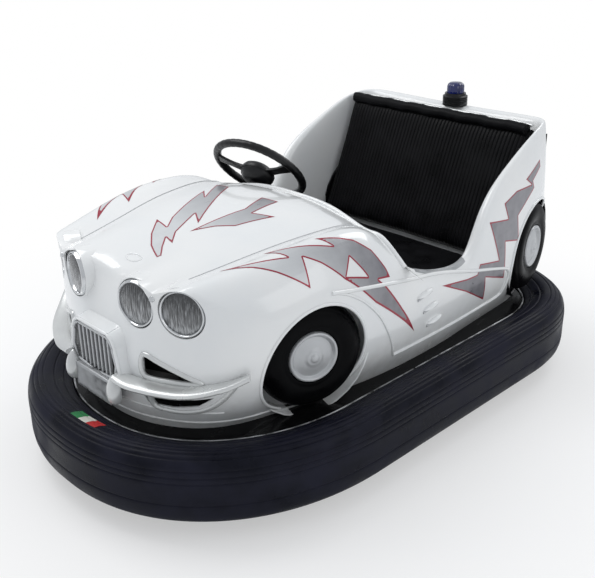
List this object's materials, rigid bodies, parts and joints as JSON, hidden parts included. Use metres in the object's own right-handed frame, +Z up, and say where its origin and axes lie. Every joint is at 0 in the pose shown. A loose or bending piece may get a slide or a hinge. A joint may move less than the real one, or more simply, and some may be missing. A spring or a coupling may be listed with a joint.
{
  "type": "bumper car",
  "caption": "Two-seat fairground bumper car: sports-car style body on a rubber-ringed chassis, bench seat, steered drive wheel.",
  "frame": {"origin": "on the track floor under the middle of the rubber ring's bounding box", "axes": "+X to the car's left, +Y to the rear, so the car faces -Y, +Z up"},
  "size_m": [1.227, 1.95, 0.953],
  "materials": {
    "bumper_rubber": "moulded rubber, satin",
    "frame_paint": "satin black paint",
    "deck_paint": "gloss black paint",
    "gel_coat": "gloss white gel coat",
    "vinyl": "black vinyl",
    "black_plastic": "satin black plastic",
    "dummy_tyre": "black moulded plastic",
    "silver_paint": "satin silver paint",
    "chrome": "bright",
    "lamp_glass": "ribbed",
    "beacon_blue": "tinted blue",
    "bare_steel": "machined",
    "motor_paint": "painted casting",
    "drive_rubber": "solid rubber"
  },
  "bodies": {
    "car": {"accelerator_pedal": "bare_steel", "arch_liner_front_left": "black_plastic", "arch_liner_front_right": "black_plastic", "arch_liner_rear_left": "black_plastic", "arch_liner_rear_right": "black_plastic", "beacon_base": "black_plastic", "beacon_lens": "beacon_blue", "body_front": "gel_coat", "body_tub": "gel_coat", "bumper_blade_left": "silver_paint", "bumper_blade_right": "silver_paint", "bumper_plate": "silver_paint", "bumper_tyre": "bumper_rubber", "chassis_deck": "deck_paint", "chassis_frame": "frame_paint", "cockpit_floor": "deck_paint", "column_pedestal": "frame_paint", "drive_bearing": "bare_steel", "grille": "silver_paint", "headlight_lens_inner_left": "lamp_glass", "headlight_lens_inner_right": "lamp_glass", "headlight_lens_outer_left": "lamp_glass", "headlight_lens_outer_right": "lamp_glass", "headlight_rim_inner_left": "chrome", "headlight_rim_inner_right": "chrome", "headlight_rim_outer_left": "chrome", "headlight_rim_outer_right": "chrome", "rear_axle": "frame_paint", "seat_back": "vinyl", "seat_back_board": "gel_coat", "seat_cushion": "vinyl", "seat_pedestal": "gel_coat", "wheel_cap_front_left": "silver_paint", "wheel_cap_front_right": "silver_paint", "wheel_cap_rear_left": "silver_paint", "wheel_cap_rear_right": "silver_paint", "wheel_tyre_front_left": "dummy_tyre", "wheel_tyre_front_right": "dummy_tyre", "wheel_tyre_rear_left": "dummy_tyre", "wheel_tyre_rear_right": "dummy_tyre"},
    "steering": {"steering_column": "black_plastic", "steering_wheel": "black_plastic"},
    "drive_unit": {"drive_unit": "motor_paint"},
    "drive_wheel": {"drive_wheel_hub": "bare_steel", "drive_wheel_tyre": "drive_rubber"},
    "rear_wheel_left": {"rear_wheel_left": "drive_rubber"},
    "rear_wheel_right": {"rear_wheel_right": "drive_rubber"}
  },
  "joints": [
    {"name": "drive_unit_swivel", "type": "hinge", "parent": "car", "child": "drive_unit", "pos_m": [0, -0.42, 0.25], "axis": [0, 0, 1], "continuous": true},
    {"name": "steering_turn", "type": "hinge", "parent": "car", "child": "steering", "pos_m": [-0.235, 0.012, 0.735], "axis": [-0.1851, 0.7112, 0.6782], "continuous": true},
    {"name": "drive_wheel_spin", "type": "hinge", "parent": "drive_unit", "child": "drive_wheel", "pos_m": [0, -0.42, 0.1], "axis": [1, 0, 0], "continuous": true},
    {"name": "rear_wheel_left_spin", "type": "hinge", "parent": "car", "child": "rear_wheel_left", "pos_m": [0.36, 0.55, 0.075], "axis": [1, 0, 0], "continuous": true},
    {"name": "rear_wheel_right_spin", "type": "hinge", "parent": "car", "child": "rear_wheel_right", "pos_m": [-0.36, 0.55, 0.075], "axis": [1, 0, 0], "continuous": true}
  ],
  "couplings": [
    {"joint": "steering_turn", "follows": "drive_unit_swivel", "ratio": 1}
  ]
}
